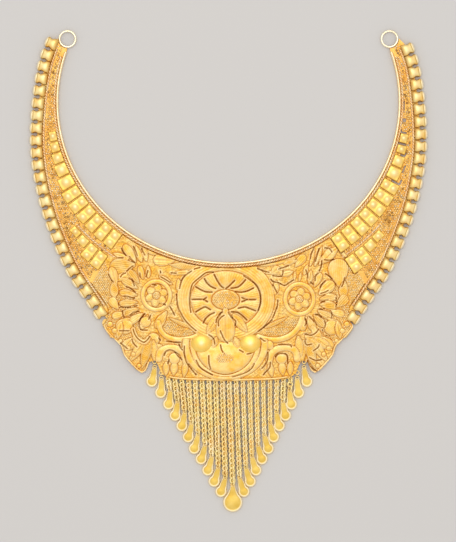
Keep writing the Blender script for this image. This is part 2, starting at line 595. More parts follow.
# Leaves in the order they are struck, as a later one overlaps an earlier one. Columns: x, y of the root,
# direction, length, width, top, and for some the bend, form and marks
RIGHT_LEAVES = [
    (9.5, 2.2, 10, 16, 2.4, 1.9, 8, "almond", "vein"), (13.7, -0.8, -4, 9.8, 1.8, 1.9, -22),
    (16, -0.9, 45, 3.6, 3.2, 2.0, 0, "round", "vein"),
    (19.4, -1.4, 18, 4.6, 2.5, 2.1, 10, "almond", "vein"), (24.6, 1.8, 50, 5.4, 3.4, 2.2, 0, "petal"),
    (17, -8.2, 84, 5, 2.8, 2.1), (20.4, 2.6, 16, 5, 2.2, 1.9, 0, "almond", "ribs"),
    (24.1, -3.2, 86, 3.4, 1.4, 2.0), (25.8, -3.6, 78, 3.4, 1.4, 2.0), (27.6, -1.2, 70, 4.2, 2, 2.0),
    (29.8, 2, 78, 7, 1.7, 2.2, 10), (31.5, 2, 70, 8, 1.8, 2.2, 8), (33.2, 2.4, 60, 8.4, 2, 2.3, 8),
    (34.6, 3.4, 44, 8, 3.8, 2.3, -10, "almond", "vein"), (40.2, 8.2, -42, 5.6, 1.5, 2.2, 24),
    (37, -1.2, 40, 7, 3.4, 2.3, 12, "petal", "ribs"), (40.4, -4.6, 94, 9.2, 7.6, 2.7, 0, "petal"),
    (29.5, -4.2, 82, 4.8, 2.4, 2.2, 0, "almond", "vein"), (31.4, -5.6, 66, 5.6, 2.8, 2.3, 6, "petal"),
    (33.4, -8.2, 40, 6.6, 4.6, 2.6, 0, "petal", "vein"), (33.6, -10.2, 8, 6, 3.2, 2.4, 0, "petal", "ribs"),
    (33.6, -12.2, -8, 6, 3.2, 2.4, 0, "petal", "ribs"),
    (32.8, -14.6, -26, 5.8, 2.9, 2.4, 0, "petal", "ribs"),
    (31.3, -16.3, -46, 5.6, 3.1, 2.4, 0, "petal", "ribs"), (29.2, -16.8, -68, 5.4, 3.1, 2.4, 0, "petal"),
    (27, -17, -88, 5, 2.8, 2.3, 0, "petal"), (41.8, -9.6, 84, 6.4, 3.6, 2.2, -8, "almond", "ribs"),
    (40, -12.8, 48, 5, 3.8, 2.2, 0, "petal", "ribs"), (37.6, -14.8, -14, 5, 3.2, 2.2, 0, "petal"),
    (36.4, -17.4, -36, 5.6, 3.2, 2.2, 0, "petal"), (34.8, -20.6, 0, 5.8, 5.6, 2.6, 0, "round"),
    (28.4, -24, -14, 6, 3.8, 2.3, 0, "almond", "vein"), (34, -24.2, -40, 5.6, 3.2, 2.3, 0, "petal"),
    (30.6, -20.4, -60, 5.4, 3.6, 2.4, 0, "petal"), (39.8, -19, -80, 6, 3, 2.2, 0, "almond", "vein"),
    (27.4, -25.6, -96, 9, 2.8, 2.3), (32, -24.6, -36, 7.4, 3.2, 2.3, 0, "almond", "vein"),
    (30.4, -25.2, -54, 10.2, 3.4, 2.4, 0, "almond", "vein"),
    (28.8, -25.6, -74, 10.8, 3.6, 2.5, 0, "almond", "ribs"),
    (13.4, -20.6, 26, 9.4, 1.8, 2.2, 8, "almond", "ribs"), (25.5, -24.2, -84, 8, 3.2, 2.3),
    (15, -33.6, -80, 5.4, 2.6, 2.2), (19.4, -33.4, -84, 5, 3, 2.1), (22.6, -33.4, -92, 5, 2.6, 2.2)]
LEFT_LEAVES = [
    (-9.4, 2, 178, 12.4, 3.4, 2.0, -12, "almond", "ribs"),
    (-13.4, -0.6, 186, 8, 2, 1.9, 18, "almond", "vein"),
    (-20.2, 3.8, 176, 7.4, 4.6, 2.1, -8, "petal", "vein"), (-17.6, -8, 98, 5.6, 2.8, 2.1),
    (-26.6, 6.2, 150, 5, 2.4, 2.2), (-22.2, 6.2, 168, 4.6, 2, 1.9), (-30, 3.8, 100, 5.6, 2.2, 2.2),
    (-31.8, 3.6, 110, 6.4, 2.4, 2.2), (-34, 3.6, 124, 7.4, 3.4, 2.4, 0, "petal"),
    (-36.8, 4.4, 158, 6, 2.4, 2.2, 0, "almond", "vein"), (-34.8, 2.2, 186, 8.6, 6, 2.6, 0, "petal", "ribs"),
    (-34.4, -0.6, 200, 7.4, 3, 2.3, 0, "petal"), (-41, -4.8, 106, 6.6, 3.4, 2.2, 0, "petal", "vein"),
    (-29.2, -2.2, 92, 4.4, 2.2, 2.1), (-31.2, -2.8, 106, 5, 2.6, 2.2, 0, "petal"),
    (-32.8, -4.2, 128, 6, 3, 2.3, 0, "petal", "ribs"), (-33.4, -6.2, 150, 6.4, 3, 2.4, 0, "petal", "ribs"),
    (-33.6, -8.8, 170, 6.4, 3, 2.4, 0, "petal", "ribs"),
    (-33.4, -11.4, 184, 6.6, 2.9, 2.4, 0, "petal", "ribs"),
    (-33, -13.8, 199, 6.4, 2.8, 2.4, 0, "petal", "ribs"), (-31.6, -15.6, 216, 6, 3.1, 2.4, 0, "petal"),
    (-29.6, -16.4, 242, 5.4, 3, 2.4, 0, "petal"), (-41.6, -9.4, 96, 6, 3.4, 2.2, 8, "almond", "ribs"),
    (-40.4, -13.6, 128, 4.8, 3.4, 2.2, 0, "petal"), (-38, -15.4, 196, 4.8, 3, 2.2, 0, "petal"),
    (-36.4, -17.4, 214, 5.6, 3.2, 2.2, 0, "petal"), (-34.8, -20.4, 180, 5.6, 5.4, 2.5, 0, "round"),
    (-28.2, -18.6, 180, 4, 4, 2.3, 0, "round"), (-22.8, -15, 238, 7, 3.6, 2.4, 0, "petal"),
    (-39.2, -19, 258, 6, 3, 2.2, 0, "almond", "vein"), (-34.6, -24.4, 222, 5.6, 3.2, 2.3, 0, "petal"),
    (-24.6, -27.2, 196, 6, 2.6, 2.3), (-25, -24.6, 184, 4.8, 4.6, 2.6, 0, "round"),
    (-27.4, -25.6, 276, 9, 2.8, 2.3), (-32, -24.6, 216, 7.4, 3.2, 2.3, 0, "almond", "vein"),
    (-30.4, -25.2, 234, 10.2, 3.4, 2.4, 0, "almond", "vein"),
    (-28.8, -25.6, 254, 10.8, 3.6, 2.5, 0, "almond", "ribs"), (-25, -2, -34, 5.6, 2.4, 2.4),
    (-13.4, -20.6, 156, 9.4, 1.8, 2.2, -8, "almond", "ribs"), (-15.6, -33.6, 262, 5.4, 2.6, 2.2),
    (-19.6, -33.4, 264, 5, 3, 2.1), (-22.8, -33.4, 270, 5, 2.6, 2.2)]
BUD_LEAVES = [
    (-3.8, -16.6, 236, 7.6, 3.6, 2.2, 0, "almond", "vein"),
    (2, -16.2, -52, 8, 3.6, 2.2, 0, "almond", "vein"), (-4.4, -24.4, 250, 4, 2.6, 2.0),
    (2.4, -24.4, -70, 4, 2.6, 2.0), (-1.1, -14.6, -90, 11.4, 7.2, 2.8, 0, "petal", "vein")]

# Plain bands. Columns: half width, top, points of the middle line
BANDS = [
    (1.1, 2.5, [(10.9, -23.9), (14.1, -24.9), (18.3, -25), (22.5, -23.5), (25.3, -20.7), (26.7, -17.6),
         (27, -15.9)]),
    (1.0, 2.4, [(-11.5, -23.6), (-14.3, -24.6), (-18.3, -25), (-22.3, -24), (-24.6, -21.8),
         (-25.6, -18.8)]),
    (1.3, 2.3, [(14.8, -33), (15.8, -30), (18.4, -28.2), (22, -28), (24.4, -29.4), (25, -32)]),
    (1.3, 2.3, [(-15.6, -33), (-16.6, -30), (-19.2, -28.2), (-22.4, -28.1), (-24.8, -29.6), (-25.4, -32)]),
    (1.0, 2.2, [(-34.8, -21.4), (-33.4, -24.6), (-30.5, -26), (-29.2, -24.6)]),
    (0.4, 2.0, [(-21.4, -38.6), (-15.6, -39.3), (0, -39.6), (15.6, -39.3), (21.4, -38.6)])]

# Thin raised edge of the corner leaves of the front, right side
HEM_EDGE = [(45.1, -19.4), (45.0, -20.7), (43.8, -22.4), (42.1, -24.3), (39.1, -27.1), (37.8, -30.6),
            (35.5, -33.4), (33.4, -35.6), (31.6, -36.8), (30.3, -35.9), (29.2, -33.2)]

# Small bosses that are alike on both sides, and the others. Columns: x, y, radius, top
PAIRED_BOSSES = [(34.7, -30.4, 0.9, 2.2), (36.5, -28.2, 0.9, 2.2), (32.6, -34.6, 0.9, 2.2),
                 (39.4, -25.4, 0.8, 2.0), (43.2, -19.4, 1.1, 2.3), (41.6, -21.8, 1.0, 2.2)]
BOSSES = [(19.3, -31.9, 2.1, 2.4), (14.8, -27, 1.7, 2.1), (-19.8, -31.9, 2.1, 2.4), (-15.4, -27, 1.7, 2.1),
          (13.9, -13.2, 0.7, 1.9), (-16.2, -13.6, 0.6, 1.9), (23.6, 5.2, 0.7, 1.9), (-24.3, 7.4, 0.7, 1.9)]

# Chased lines of the right side, the left side and the middle, each as the points it passes through
RIGHT_LINES = [
    [(15.4, -3), (16.4, -3.9), (18.3, -4.3), (20.4, -5.3), (22.1, -4.3), (23.7, -3.3)],
    [(16.2, -5), (16.9, -6.4), (17.8, -8)], [(18, -10.6), (17.8, -12.7), (16.9, -15.2), (15.8, -17.8)],
    [(15.8, -17.8), (13.7, -19.9), (10.8, -22)], [(10.6, 0.9), (12.7, 0), (14.8, -0.5)],
    [(18.3, 0.7), (20.4, 1.4), (21.9, 2)], [(16.2, -1.7), (19.3, -1.9), (19.9, 0.2)],
    [(28.2, 0.4), (28.8, -1.2), (28.9, -2.6)], [(29.8, -4), (31, -4.8)],
    [(31.6, -3.6), (31.7, -1.9), (32.8, -0.8)], [(35.4, -1), (36.8, -1.9), (37.8, -2.9)],
    [(35.4, -3.6), (34, -5), (33.5, -6.1)], [(36.3, -7.1), (35, -7.8), (33.6, -8.2)],
    [(36.4, -10.6), (35, -10.8), (33.8, -11.5)], [(33.1, -13.9), (35, -13.8)],
    [(31.7, -15.9), (33, -16), (33.8, -16.9)], [(29.3, -16.6), (30.5, -17.6), (31.2, -18.5)],
    [(27.9, -17.2), (28.4, -18.6), (27.9, -20)], [(42.4, -2.4), (41.9, -4.3), (41.3, -5.7)],
    [(39.2, -9.6), (39.4, -11.3), (39.2, -13.1)], [(37.5, -14.8), (37.7, -16.2), (37.5, -17.2)],
    [(35, -18.3), (35.4, -19.3), (35, -20.6)], [(27.9, -23), (30.2, -23.4), (31.9, -22.5), (32.8, -21.3)],
    [(34.3, -21.4), (34.5, -22.8), (35, -23.5), (36.8, -23.7)],
    [(27.9, -25.6), (28.4, -26.9), (30.3, -26.7)], [(33.1, -26.9), (32.6, -27.9), (31, -29.1)],
    [(31, 7.9), (30.2, 6.2), (29.8, 4.4)], [(33.1, 8.2), (32.3, 5.8), (31.7, 3.5)],
    [(34, 3.7), (33.8, 1.6), (33.1, 0)], [(35, 4.1), (36.8, 3.9), (38.5, 4.2)],
    [(35.2, 8.4), (36.8, 8.2), (37.7, 6.9)], [(11.6, -24.4), (12.7, -25.3), (13.4, -25.6)],
    [(18.3, -26.9), (20.4, -26.8), (22.5, -27), (23, -27.7)],
    [(17.2, -31.4), (18.1, -30.3), (19.7, -30.1), (21.2, -30.5), (21.6, -31.9), (21.6, -33.7)],
    [(14.4, -29.8), (14.3, -31.9), (13.6, -33.8), (12.2, -35.6)],
    [(9.4, -33.8), (8.5, -35.4), (6.8, -36.8), (4, -37.9), (1.5, -38.6)],
    [(15.3, -33.3), (15, -35.2), (13.7, -36.8), (12.7, -37.9)], [(4, -28.8), (5.4, -29.6)],
    [(6.8, -30.3), (8.2, -30), (9.5, -29.3)], [(28.8, -32.6), (30.2, -35.1), (32.3, -36.5)],
    [(28.1, -33.7), (28.8, -36.5), (29.8, -38.2)], [(29.5, -31.6), (31.9, -32.6), (34, -32.3)]]
LEFT_LINES = [
    [(-39, 8.2), (-38.3, 6.9), (-37.3, 5.6)], [(-34.7, 8.9), (-34, 7.6), (-33.3, 5.6)],
    [(-31.7, 8.2), (-31.2, 7), (-30.5, 5.8)], [(-36.1, 5.3), (-35.4, 4.2), (-34.3, 3.2)],
    [(-40.1, 4.8), (-38.5, 4.8)], [(-37.1, 0), (-35.9, 1.1), (-34.8, 1.8)],
    [(-39.4, -2.2), (-38.7, -1.2), (-37.6, -0.8)], [(-43.7, -1.2), (-43, -2.9), (-42, -4)],
    [(-35.2, -2.9), (-34.7, -4.3), (-34.3, -5.4)], [(-32.4, -0.8), (-32.2, -2.2)],
    [(-29.4, 0.2), (-29.8, -1.2), (-30.1, -2.2)], [(-27.8, -4.9), (-26.4, -5.2)],
    [(-24.7, -2.1), (-23.3, -2.9), (-21.2, -4.2)], [(-37.3, -5.7), (-35.5, -6.4), (-34.1, -7.8)],
    [(-38.3, -9.2), (-36.6, -9.2), (-35.5, -9.7), (-34.3, -9.9)],
    [(-39.7, -13.2), (-36.6, -13.2), (-33.4, -12.7)], [(-38.7, -14.5), (-38.5, -15.9), (-38.1, -16.9)],
    [(-35.9, -16.2), (-34.8, -15.2), (-32.7, -14.7)],
    [(-30.5, -15.5), (-32, -17.2), (-32.6, -19), (-32, -21.3), (-29.6, -21.6)],
    [(-29.1, -17.6), (-28.4, -16.2)], [(-39.7, -21.8), (-38, -21.8), (-36.2, -21.8)],
    [(-34.8, -21.1), (-34.3, -22.8), (-33.1, -24.6), (-31, -26), (-29.6, -25.1), (-28.7, -23.9)],
    [(-35.2, -24.8), (-34.7, -26.3), (-33.4, -27.7)], [(-39.4, -26.3), (-38, -27.4), (-36.8, -28.4)],
    [(-25.4, -24.4), (-24.9, -25.3)], [(-24.9, 0), (-24.7, -0.8)],
    [(-13.5, 0), (-15.6, -1.5), (-17, -3.3), (-17.9, -6.4)],
    [(-18.9, -8.5), (-18.8, -10.6), (-18.4, -13.1), (-17.7, -14.8), (-16.1, -17.6), (-13.9, -20),
         (-11.8, -21.8)], [(-21.4, -12.9), (-20.5, -14.5), (-19.6, -16.2)],
    [(-22.6, -25.6), (-20.2, -25.9), (-17.7, -26)],
    [(-23.5, -30.9), (-23, -29.5), (-21.6, -28.8), (-19.8, -29.3), (-18.4, -31), (-17, -32.3)],
    [(-21.6, -32.3), (-22.1, -33.7)],
    [(-16.1, -27.4), (-16.1, -30.2), (-15.3, -33.3), (-13.5, -35.8), (-11.8, -37.9)],
    [(-18.1, -26.7), (-17.4, -28.1), (-16.8, -28.8)],
    [(-11.8, -32.6), (-10.4, -35.1), (-7.9, -36.8), (-5.8, -37.9)],
    [(-7.2, -30.9), (-7.1, -33.7), (-6.5, -35.8)], [(-7.2, -23.2), (-5.5, -24.6), (-5, -26.7)],
    [(-3.6, -20), (-3.7, -18.3), (-2.7, -16.9), (-1.6, -16.2)], [(-3, -21.8), (-1.6, -24.9), (-0.3, -26.3)],
    [(-2.9, -27), (-2.5, -28.8), (-1.6, -30.2)], [(-16.3, 3.2), (-14.2, 2.7), (-12.1, 2.5)],
    [(-12.5, 0.7), (-10.4, 1.3)], [(-20.9, -0.7), (-19.1, -0.8)], [(-23.7, -12), (-23, -12.4)]]
MIDDLE_LINES = [
    [(-5.2, -1.3), (-4.3, -3.1), (-2.9, -5.3), (-1.8, -6.2)],
    [(-8.8, -2.8), (-7.9, -4.3), (-6.5, -5.6), (-4.7, -6.4)],
    [(-12, -5.7), (-10, -6.9), (-8.1, -7.6), (-6, -7.7)],
    [(-13.4, -10.4), (-11.2, -10.3), (-9.1, -10.4), (-7.7, -11.2)], [(-9.1, -10.4), (-8.1, -9.7)],
    [(-12, -15), (-10, -13.7), (-8.4, -13.1), (-6.6, -14.1)],
    [(-9.2, -19), (-8.4, -17.4), (-6.9, -16), (-5.2, -15.2)],
    [(-4.6, -18.8), (-4.1, -17.1), (-3.1, -15.7), (-2.1, -14.9)], [(-1, -6.5), (0.4, -5.3), (2.2, -3.5)],
    [(0.9, -6.3), (3.3, -5.9), (4.9, -4.7), (6.2, -3.2)],
    [(2.4, -7.6), (4.9, -7.7), (7.1, -7.2), (9.1, -6.2)], [(9.9, -10.4), (6.8, -10.4), (4.9, -9.7)],
    [(6.8, -10.4), (4.9, -11.2)], [(3.6, -13.6), (5.9, -13.1), (7.8, -13.7), (9.9, -14.5)],
    [(1.1, -14.9), (3.3, -15.1), (5.2, -16.4), (6.7, -17.9)],
    [(-0.1, -15.1), (1.1, -16.9), (2.6, -18.3), (2.4, -19.8)],
    [(-5.5, -0.4), (-8.1, -0.6), (-10.5, -2.4), (-13, -4.6), (-13.7, -6.7), (-14.1, -9.5), (-14.1, -12.2),
         (-13.7, -15.2)],
    [(5.6, -1.7), (9.7, -4.6), (11.3, -7.2), (11.8, -10), (11.6, -12.2), (10.9, -14.4)]]


def leaf_half_width(form, u):
    """Half width of a leaf at a place along it, as a share of its widest."""
    u = unit(u)
    if form == "round":
        return np.sqrt(unit(1 - (2 * u - 1) ** 2))
    if form == "petal":
        tip = np.sqrt(unit(1 - (unit(u - 0.6) / 0.4) ** 2))
        return np.where(u > 0.6, tip, 0.32 + 0.68 * np.sin(unit(u / 0.6) * math.pi / 2))
    return np.sin(math.pi * unit(0.08 + 0.92 * u) ** 0.85) ** 0.8


def along_line(line, x, y):
    """Run along a line, distance to its left and distance from it, at each place."""
    best = np.full(x.shape, 1e9)
    run, left, so_far = np.zeros(x.shape), np.zeros(x.shape), 0.0
    for (ax, ay), (bx, by) in zip(line, line[1:]):
        dx, dy = bx - ax, by - ay
        long = math.hypot(dx, dy)
        t = unit(((x - ax) * dx + (y - ay) * dy) / long ** 2)
        away = np.hypot(x - ax - t * dx, y - ay - t * dy)
        near = away < best
        best = np.where(near, away, best)
        run = np.where(near, so_far + t * long, run)
        left = np.where(near, ((y - ay) * dx - (x - ax) * dy) / long, left)
        so_far += long
    return run, left, best


def leaf_spine(x, y, direction, long, bend):
    """Middle line of a leaf, which turns evenly by its bend."""
    line, turn = [(x, y)], math.radians(direction - bend / 2)
    for _ in range(10):
        x, y = x + math.cos(turn) * long / 10, y + math.sin(turn) * long / 10
        line.append((x, y))
        turn += math.radians(bend) / 10
    return line


xs = np.arange(-50.5, 50.6, GRID)
ys = np.arange(-40.4, 15.6, GRID)
gx, gy = np.meshgrid(xs, ys, indexing="ij")
rng = np.random.default_rng(7)
height = np.full(gx.shape, GROUND)
dark = np.full(gx.shape, 0.06)
pale = np.zeros(gx.shape)
ground = np.full(gx.shape, True)


def window(points, margin):
    """Part of the grid round some points."""
    p = np.asarray(points)
    low, high = p.min(axis=0) - margin, p.max(axis=0) + margin
    i, j = np.searchsorted(xs, [low[0], high[0]]), np.searchsorted(ys, [low[1], high[1]])
    return slice(*i), slice(*j)


def raise_form(part, inside, top, flank, crown=0.0):
    """Raises a smooth form over the sheet where inside is positive, with a chased line round it."""
    slope = np.hypot(*np.gradient(inside, GRID))
    d = inside / np.clip(slope, 1, 4)
    f = unit(d / flank)
    top = GROUND + (top - GROUND) * RELIEF
    face = top - EDGE_FALL + EDGE_FALL * np.sqrt(1 - (1 - f) ** 2) + crown * RELIEF
    over = d > 0
    near = unit(1 + d / LINE_WIDTH)
    height[part] = np.where(over, face, height[part] - SINK * near)
    dark[part] = np.where(over, unit(0.1 - d / 0.5), np.maximum(dark[part], 0.16 * near))
    pale[part] = np.where(over, 0.25 * bell((d - 0.3) / 0.17), pale[part] * (1 - near))
    ground[part] &= near < 0.2
    return over, d


def raise_leaf(x, y, direction, long, wide, top, bend=0, form="almond", marks=""):
    """Raises one leaf and chases its vein or its ribs."""
    line = leaf_spine(x, y, direction, long, bend)
    part = window(line, wide)
    run, left, away = along_line(line, gx[part], gy[part])
    half = wide / 2
    inside = leaf_half_width(form, run / long) * half - away
    over, d = raise_form(part, inside, top, min(0.8, half * 0.62), 0.12 * (1 - (left / half) ** 2))
    if marks == "vein":
        cut = bell(left / VEIN_HALF) * unit(np.sin(math.pi * run / long) * 2)
        height[part] -= np.where(over, VEIN_DEPTH * cut, 0)
        dark[part] = np.where(over, np.maximum(dark[part], 0.38 * cut), dark[part])
    if marks != "vein" or wide > 3:
        turns = left / PETAL_RIB_PITCH if form == "petal" else (run - abs(left)) / RIB_PITCH
        wave = np.cos(2 * math.pi * turns)
        share = unit(d / 0.4) * (1.0 if marks == "ribs" else 0.45)
        height[part] += np.where(over, RIB_DEPTH * wave * share, 0)
        line_dark = 0.4 * share * unit(-wave) ** 2
        dark[part] = np.where(over, np.maximum(dark[part], line_dark), dark[part])


def raise_band(line, half, top):
    """Raises a plain half-round band along a line."""
    smooth = smooth_curve(line, 6)
    part = window(smooth, half + 1)
    away = along_line([tuple(p) for p in smooth], gx[part], gy[part])[2]
    raise_form(part, half - away, top, half)


def oval_away(x, y, centre, half_w, half_h):
    """Distance outside an oval, negative inside it."""
    u, v = (x - centre[0]) / half_w, (y - centre[1]) / half_h
    f = np.hypot(u, v) + 1e-9
    return (f - 1) * f / np.hypot(u / half_w, v / half_h)


def grown_loop(corners, margin):
    """Corners of a brick, moved out from its middle by a margin."""
    c = np.array(corners)
    out = c - c.mean(axis=0)
    return c + out / np.linalg.norm(out, axis=1, keepdims=True) * margin


def blurred(field, reach, times=2):
    """A field smoothed over a reach of cells each way."""
    for _ in range(times):
        for axis in (0, 1):
            field = sum(np.roll(field, k, axis) for k in range(-reach, reach + 1)) / (2 * reach + 1)
    return field


for leaf in RIGHT_LEAVES + LEFT_LEAVES:
    raise_leaf(*leaf)
for half, top, line in BANDS:
    raise_band(line, half, top)
for side in (1, -1):
    raise_band([(x * side, y) for x, y in HEM_EDGE], 0.35, 1.9)
for x, y, radius, top in BOSSES + [(x * side, *rest) for x, *rest in PAIRED_BOSSES for side in (1, -1)]:
    part = window([(x, y)], radius + 1)
    raise_form(part, radius - np.hypot(gx[part] - x, gy[part] - y), top, radius)
for x, y, half_w, half_h in ROSES:
    part = window([(x, y)], 9)
    away = np.abs(oval_away(gx[part], gy[part], (x, y), half_w, half_h))
    raise_form(part, 0.85 - away, 2.0, 0.85)
    for turn in range(20, 380, 360 // ROSE_PETALS):
        a = math.radians(turn)
        raise_leaf(x + math.cos(a), y + math.sin(a), turn, 3.2, 3.0, 2.3, 0, "round")
    raise_form(part, ROSE_CORE - np.hypot(gx[part] - x, gy[part] - y), 2.1, 1.0)

everywhere = (slice(None), slice(None))
angle_down = np.arctan2(gy - BOWL[1], gx - BOWL[0])
sides = np.abs(np.cos(angle_down))
open_top = np.where(gy < BOWL_UP_TO, 0, 9)
for half_w, half_h, half, gain, top, flank in BOWL_BANDS:
    away = np.abs(oval_away(gx, gy, BOWL, half_w, half_h))
    raise_form(everywhere, half + gain * sides - away - open_top, top, flank)
bowl_inside = -oval_away(gx, gy, BOWL, *BOWL_FLOOR)
raise_form(everywhere, np.where(gy < -24.0, bowl_inside, -9), 2.0, 1.6,
           0.45 * unit(1 - ((gx - BOWL[0]) / 10) ** 2 - ((gy + 33) / 7) ** 2))

medal_floor = -oval_away(gx, gy, MEDAL, *MEDAL_INNER)
band_w = (MEDAL_INNER[0] + MEDAL_OUTER[0]) / 2
band_h = (MEDAL_INNER[1] + MEDAL_OUTER[1]) / 2 + MEDAL_BAND_TALLER
raise_form(everywhere, MEDAL_BAND_HALF - np.abs(oval_away(gx, gy, MEDAL, band_w, band_h)), 2.5, 2.1)
petals = medal_floor > 0
# The last two of the middle lines go round the flower and don't part its petals
lines_away = np.full(gx.shape, 9.0)
for line in MIDDLE_LINES[:-2]:
    part = window(line, 3)
    lines_away[part] = np.minimum(lines_away[part], along_line(line, gx[part], gy[part])[2])
button_away = oval_away(gx, gy, MEDAL, *BUTTON)
puff = np.minimum(np.minimum(lines_away, medal_floor), np.clip(button_away, 0.05, 9))
hatch = np.cos(np.arctan2((gy - MEDAL[1]) * 1.2, gx - MEDAL[0]) * 76)
petal_height = 1.4 + 0.45 * (1 - np.exp(-puff / 0.6)) + 0.04 * hatch * unit(puff)
height = np.where(petals, petal_height, height)
dark = np.where(petals, unit(0.4 - puff / 0.2) + 0.14 * unit(-hatch), dark)
pale = np.where(petals, 0.25 * bell((puff - 0.5) / 0.22), pale)
band_lines = np.cos(medal_floor * 2 * math.pi / 0.95)
on_band = (medal_floor < -0.6) & (medal_floor > -4.2) & (height > 2.05)
height += np.where(on_band, 0.04 * band_lines, 0)
dark = np.where(on_band, np.maximum(dark, 0.2 * unit(-band_lines)), dark)
raise_form(everywhere, -button_away, 2.2, 1.2, 0.25 * unit(1 + button_away / 3))
for leaf in BUD_LEAVES:
    raise_leaf(*leaf)

for line in RIGHT_LINES + LEFT_LINES + MIDDLE_LINES:
    part = window(line, 1.2)
    away = along_line([tuple(p) for p in smooth_curve(line, 4)], gx[part], gy[part])[2]
    burr, cut = bell((away - BURR_AWAY) / 0.16), bell(away / CUT_HALF)
    height[part] += BURR * burr - CUT_DEPTH * cut
    dark[part] = np.maximum(dark[part] * (1 - burr), 0.85 * cut)
    pale[part] = np.maximum(pale[part], 0.35 * burr) * unit(away / 0.3)

# A soft unevenness everywhere, a finer matting on the bare ground, and no relief under wires and bricks
rough_sheet = blurred(rng.normal(0, 1, gx.shape), 1)
matted = blurred(rng.normal(0, 1, gx.shape), 1, 1) * 3
height += 0.03 * rough_sheet + np.where(ground & ~petals, 0.07 * np.clip(matted, -1.5, 1.5), 0)
dark += np.where(ground & ~petals, 0.16 * np.clip(-matted, 0, 1.5), 0)
neck_off = oval_away(gx, gy, (0, NECK_Y), NECK_HALF_W, NECK_HALF_H)
side_runs = np.linspace(plate_run - 6, edge_len - 5, 160)
bead_in = np.full(gx.shape, 99.0)
for p in edge_pt(side_runs, 0):
    bead_in = np.minimum(bead_in, np.hypot(np.abs(gx) - p[0], gy - p[1]))
under_wires = unit(np.maximum(1 - (neck_off - 2.1) / 0.2, 1 - (bead_in - 5.55) / 0.2))
height = height * (1 - under_wires) + 0.98 * under_wires
for side in (1, -1):
    for corners, _ in brick_bodies(side):
        loop = grown_loop(corners, 0.25) * [side, 1]
        part = window(loop, 0.5)
        under = inside_loop(loop, gx[part], gy[part])
        height[part] = np.where(under, 1.0, height[part])
        ground[part] &= ~under
height = np.clip(height, 0.75, 3.0)
hollow = unit((blurred(height, 2) - height) * 0.6)
stain = unit(np.maximum(dark * 0.9, hollow) + 0.1 * rough_sheet)

neck_side = neck_pt(np.linspace(-PLATE_ANGLE - 0.3, PLATE_ANGLE + 0.3, 160), 0.3)
right_side = edge_pt(np.linspace(plate_run, edge_len, 40), 3.0)
hem = np.array(HEM)
corner_arc = np.radians(np.arange(60, -41, -20))
corner_arc = CORNER_R * np.stack([np.cos(corner_arc), np.sin(corner_arc)], -1)
halves = {side: np.concatenate([right_side, CORNERS[side] + corner_arc, [CORNER_END], hem[1:]])
          for side in (1, -1)}
sheet_line = np.concatenate([neck_side, halves[1], halves[-1][-2::-1] * [-1, 1]])
inside = inside_loop(sheet_line, gx, gy)
cell_in = inside[:-1, :-1] & inside[1:, :-1] & inside[1:, 1:] & inside[:-1, 1:]
in_medal, in_lower = (oval_away(gx, gy, *oval) < 0 for oval in MIDDLE_OVALS)
middle = in_medal | (in_lower & (gy < -24))
cell_middle = middle[:-1, :-1]
cell_right = gx[:-1, :-1] > MEDAL[0]


def sheet_piece(name, cells, finish):
    """One struck sheet from the cells of the grid, closed with walls and a flat back."""
    ci, cj = np.nonzero(cells)
    rows = gx.shape[1]
    corner = [ci * rows + cj, (ci + 1) * rows + cj, (ci + 1) * rows + cj + 1, ci * rows + cj + 1]
    quads = np.stack(corner, -1)
    used, packed = np.unique(quads, return_inverse=True)
    packed = packed.reshape(quads.shape)
    xy = np.stack([gx.ravel()[used], gy.ravel()[used]], -1)
    z = height.ravel()[used]
    pairs = np.concatenate([packed[:, [k, (k + 1) % 4]] for k in range(4)])
    keys = pairs[:, 0] * len(used) + pairs[:, 1]
    back = pairs[:, 1] * len(used) + pairs[:, 0]
    rim_pairs = pairs[~np.isin(keys, back)]
    on_rim = np.unique(rim_pairs)
    # The stepped corners of the rim move onto the smooth outline
    line = np.concatenate([sheet_line, sheet_line[:1]])
    a, b = line[:-1], line[1:]
    ab = b - a
    for k in on_rim:
        t = unit(((xy[k] - a) * ab).sum(1) / (ab ** 2).sum(1))
        near = a + ab * t[:, None]
        away = np.hypot(*(near - xy[k]).T)
        if away.min() < GRID * 1.5:
            xy[k] = near[away.argmin()]
    # Each corner on the rim has a second one below it, for the walls and the flat back
    n = len(used)
    low_of = {k: n + i for i, k in enumerate(on_rim)}
    verts = np.concatenate([np.c_[xy, z], np.c_[xy[on_rim], np.zeros(len(on_rim))]])
    faces = [tuple(q) for q in packed.tolist()]
    step = {}
    for s, e in rim_pairs.tolist():
        faces.append((e, s, low_of[s], low_of[e]))
        step.setdefault(s, []).append(e)
    # The back is one face for each closed round of rim corners
    while step:
        first = next(iter(step))
        loop, at = [first], step[first].pop()
        if not step[first]:
            del step[first]
        while at != first:
            loop.append(at)
            onward = step[at].pop()
            if not step[at]:
                del step[at]
            at = onward
        faces.append(tuple(low_of[k] for k in reversed(loop)))
    piece = solid(name, verts, faces, finish, "collar_gold", 60,
                  recess=np.concatenate([stain.ravel()[used], np.ones(len(on_rim))]),
                  worn=np.concatenate([pale.ravel()[used], np.zeros(len(on_rim))]))
    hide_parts("collar")


chased = gold_finish("chased_gold", (0.91, 0.64, 0.24), (0.9, 0.5, 0.075), 0.46, 0.4, 1.0)
sheet_piece("medallion_and_bowl", cell_in & cell_middle, chased)
sheet_piece("floral_side_right", cell_in & ~cell_middle & cell_right, chased)
sheet_piece("floral_side_left", cell_in & ~cell_middle & ~cell_right, chased)

# Granules.
# Gold balls, soldered close together over the bare sheet of the arms. Finer ones fill the middle of the oval
# flower and of the roses, the almond-shaped hollows and the ground beside the last beads.
GRANULE_R = 0.43
ARM_STEP = 0.92
FRONT_STEP = 0.7
ARM_SIZES = (0.75, 1.1)
FRONT_SIZES = (0.6, 0.85)
